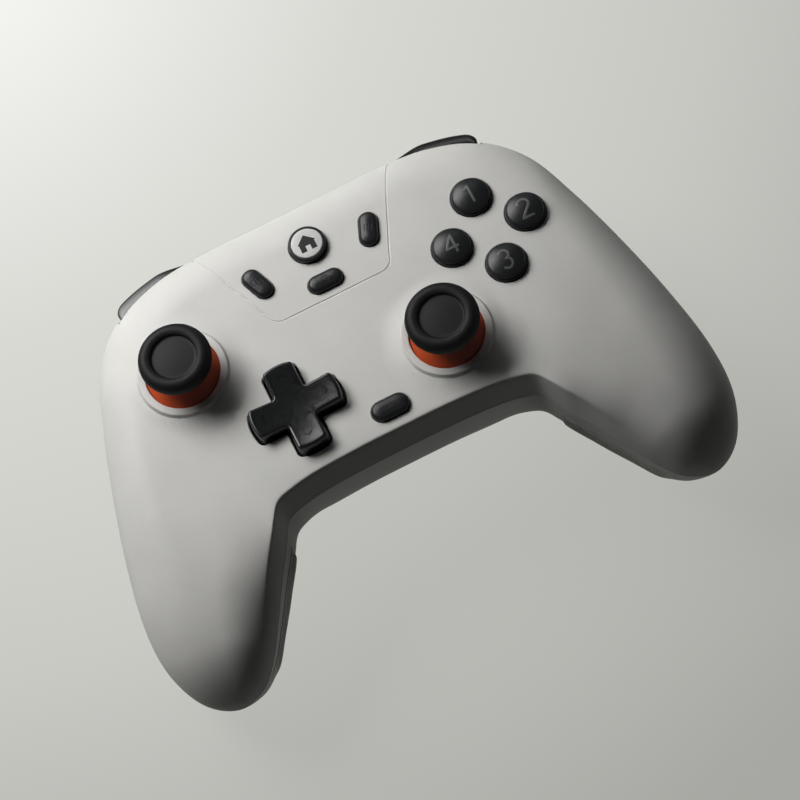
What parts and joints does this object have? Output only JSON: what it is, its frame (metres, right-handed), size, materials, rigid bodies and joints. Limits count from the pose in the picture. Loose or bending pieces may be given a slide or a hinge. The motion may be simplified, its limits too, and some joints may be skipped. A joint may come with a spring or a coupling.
{
  "type": "gamepad controller",
  "caption": "Handheld gamepad with offset thumb sticks, a rocking direction pad, domed face buttons, pill keys, bumpers and sprung triggers in a two-shell case.",
  "frame": {"origin": "middle of the pad's footprint, on the table plane it lies on", "axes": "+X to the player's right, +Y towards the bumpers, +Z out of the face"},
  "size_m": [0.1576, 0.111, 0.0528],
  "materials": {
    "case": "fine matte grain",
    "rubber": "matte with a knurled rim",
    "skirt": "satin moulded",
    "gloss": "polished",
    "button": "satin moulded",
    "inlay": "satin moulded",
    "inner_plastic": "as moulded",
    "silicone": "matte",
    "steel": "satin",
    "board": "solder mask",
    "battery": "wrapped",
    "brass": "sintered"
  },
  "bodies": {
    "case": {"front_shell": "case", "rear_shell": "case", "left_grip_panel": "case", "right_grip_panel": "case", "left_stick_housing": "steel", "right_stick_housing": "steel", "dpad_base": "silicone", "face_membrane": "silicone", "left_trigger_pin": "steel", "left_trigger_spring": "steel", "left_trigger_bracket": "inner_plastic", "right_trigger_pin": "steel", "right_trigger_spring": "steel", "right_trigger_bracket": "inner_plastic", "main_board": "board", "tact_switches": "inner_plastic", "usb_port": "steel", "battery_pack": "battery", "left_rumble_motor": "steel", "right_rumble_motor": "steel", "shell_screws": "steel"},
    "left_yoke": {"left_stick_yoke": "inner_plastic"},
    "left_arch": {"left_stick_arch": "inner_plastic"},
    "left_post": {"left_stick_post": "steel"},
    "left_stick": {"left_stick_skirt": "skirt", "left_stick_cap": "rubber"},
    "right_yoke": {"right_stick_yoke": "inner_plastic"},
    "right_arch": {"right_stick_arch": "inner_plastic"},
    "right_post": {"right_stick_post": "steel"},
    "right_stick": {"right_stick_skirt": "skirt", "right_stick_cap": "rubber"},
    "dpad_rocker": {"dpad_rocker": "inner_plastic"},
    "dpad": {"dpad": "gloss"},
    "face_button_top": {"face_button_top": "button"},
    "face_button_right": {"face_button_right": "button"},
    "face_button_bottom": {"face_button_bottom": "button"},
    "face_button_left": {"face_button_left": "button"},
    "home_button": {"home_button": "button", "home_inlay": "inlay"},
    "view_button": {"view_button": "button"},
    "menu_button": {"menu_button": "button"},
    "capture_button": {"capture_button": "button"},
    "mode_button": {"mode_button": "button"},
    "left_bumper": {"left_bumper": "gloss"},
    "right_bumper": {"right_bumper": "gloss"},
    "left_trigger": {"left_trigger": "gloss"},
    "right_trigger": {"right_trigger": "gloss"},
    "left_rumble_weight": {"left_rumble_weight": "brass"},
    "right_rumble_weight": {"right_rumble_weight": "brass"}
  },
  "joints": [
    {"name": "left_stick_pitch", "type": "hinge", "parent": "case", "child": "left_yoke", "pos_m": [-0.042, 0.0213, 0.0325], "axis": [1, 0, 0], "range_deg": [-16, 16], "stiffness_Nm_per_rad": 0.035},
    {"name": "left_stick_roll", "type": "hinge", "parent": "left_yoke", "child": "left_post", "pos_m": [-0.042, 0.0213, 0.0325], "axis": [0, 1, 0], "range_deg": [-16, 16], "stiffness_Nm_per_rad": 0.035},
    {"name": "left_stick_sense", "type": "hinge", "parent": "case", "child": "left_arch", "pos_m": [-0.042, 0.0213, 0.0325], "axis": [0, 1, 0], "range_deg": [-16.5, 16.5]},
    {"name": "left_stick_click", "type": "slide", "parent": "left_post", "child": "left_stick", "axis": [0, 0, -1], "range_m": [0, 0.0005], "stiffness_N_per_m": 4000},
    {"name": "right_stick_pitch", "type": "hinge", "parent": "case", "child": "right_yoke", "pos_m": [0.0207, -0.0008, 0.0325], "axis": [1, 0, 0], "range_deg": [-16, 16], "stiffness_Nm_per_rad": 0.035},
    {"name": "right_stick_roll", "type": "hinge", "parent": "right_yoke", "child": "right_post", "pos_m": [0.0207, -0.0008, 0.0325], "axis": [0, 1, 0], "range_deg": [-16, 16], "stiffness_Nm_per_rad": 0.035},
    {"name": "right_stick_sense", "type": "hinge", "parent": "case", "child": "right_arch", "pos_m": [0.0207, -0.0008, 0.0325], "axis": [0, 1, 0], "range_deg": [-16.5, 16.5]},
    {"name": "right_stick_click", "type": "slide", "parent": "right_post", "child": "right_stick", "axis": [0, 0, -1], "range_m": [0, 0.0005], "stiffness_N_per_m": 4000},
    {"name": "dpad_pitch", "type": "hinge", "parent": "case", "child": "dpad_rocker", "pos_m": [-0.0207, -0.0008, 0.0353], "axis": [1, 0, 0], "range_deg": [-4, 4], "stiffness_Nm_per_rad": 0.12},
    {"name": "dpad_roll", "type": "hinge", "parent": "dpad_rocker", "child": "dpad", "pos_m": [-0.0207, -0.0008, 0.0353], "axis": [0, 1, 0], "range_deg": [-4, 4], "stiffness_Nm_per_rad": 0.12},
    {"name": "face_button_top_press", "type": "slide", "parent": "case", "child": "face_button_top", "axis": [0, 0, -1], "range_m": [0, 0.0014], "stiffness_N_per_m": 400},
    {"name": "face_button_right_press", "type": "slide", "parent": "case", "child": "face_button_right", "axis": [0, 0, -1], "range_m": [0, 0.0014], "stiffness_N_per_m": 400},
    {"name": "face_button_bottom_press", "type": "slide", "parent": "case", "child": "face_button_bottom", "axis": [0, 0, -1], "range_m": [0, 0.0014], "stiffness_N_per_m": 400},
    {"name": "face_button_left_press", "type": "slide", "parent": "case", "child": "face_button_left", "axis": [0, 0, -1], "range_m": [0, 0.0014], "stiffness_N_per_m": 400},
    {"name": "home_press", "type": "slide", "parent": "case", "child": "home_button", "axis": [0, 0, -1], "range_m": [0, 0.0007], "stiffness_N_per_m": 1500},
    {"name": "view_press", "type": "slide", "parent": "case", "child": "view_button", "axis": [0, 0, -1], "range_m": [0, 0.0007], "stiffness_N_per_m": 1500},
    {"name": "menu_press", "type": "slide", "parent": "case", "child": "menu_button", "axis": [0, 0, -1], "range_m": [0, 0.0007], "stiffness_N_per_m": 1500},
    {"name": "capture_press", "type": "slide", "parent": "case", "child": "capture_button", "axis": [0, 0, -1], "range_m": [0, 0.0007], "stiffness_N_per_m": 1500},
    {"name": "mode_press", "type": "slide", "parent": "case", "child": "mode_button", "axis": [0, 0, -1], "range_m": [0, 0.0007], "stiffness_N_per_m": 1500},
    {"name": "left_bumper_press", "type": "hinge", "parent": "case", "child": "left_bumper", "pos_m": [-0.03021, 0.0446, 0.031], "axis": [0, 0, 1], "range_deg": [0, 3], "stiffness_Nm_per_rad": 0.6},
    {"name": "right_bumper_press", "type": "hinge", "parent": "case", "child": "right_bumper", "pos_m": [0.03021, 0.0446, 0.031], "axis": [0, 0, -1], "range_deg": [0, 3], "stiffness_Nm_per_rad": 0.6},
    {"name": "left_trigger_pull", "type": "hinge", "parent": "case", "child": "left_trigger", "pos_m": [-0.0369, 0.0426, 0.0231], "axis": [-1, 0, 0], "range_deg": [0, 18], "stiffness_Nm_per_rad": 0.03, "springref_deg": -11.46},
    {"name": "right_trigger_pull", "type": "hinge", "parent": "case", "child": "right_trigger", "pos_m": [0.0369, 0.0426, 0.0231], "axis": [-1, 0, 0], "range_deg": [0, 18], "stiffness_Nm_per_rad": 0.03, "springref_deg": -11.46},
    {"name": "left_rumble_spin", "type": "hinge", "parent": "case", "child": "left_rumble_weight", "pos_m": [-0.06, -0.0335, 0.019], "axis": [0, 1, 0], "continuous": true},
    {"name": "right_rumble_spin", "type": "hinge", "parent": "case", "child": "right_rumble_weight", "pos_m": [0.06, -0.0335, 0.019], "axis": [0, 1, 0], "continuous": true}
  ],
  "couplings": [
    {"joint": "left_stick_sense", "follows": "left_stick_roll", "ratio": 1},
    {"joint": "right_stick_sense", "follows": "right_stick_roll", "ratio": 1}
  ]
}
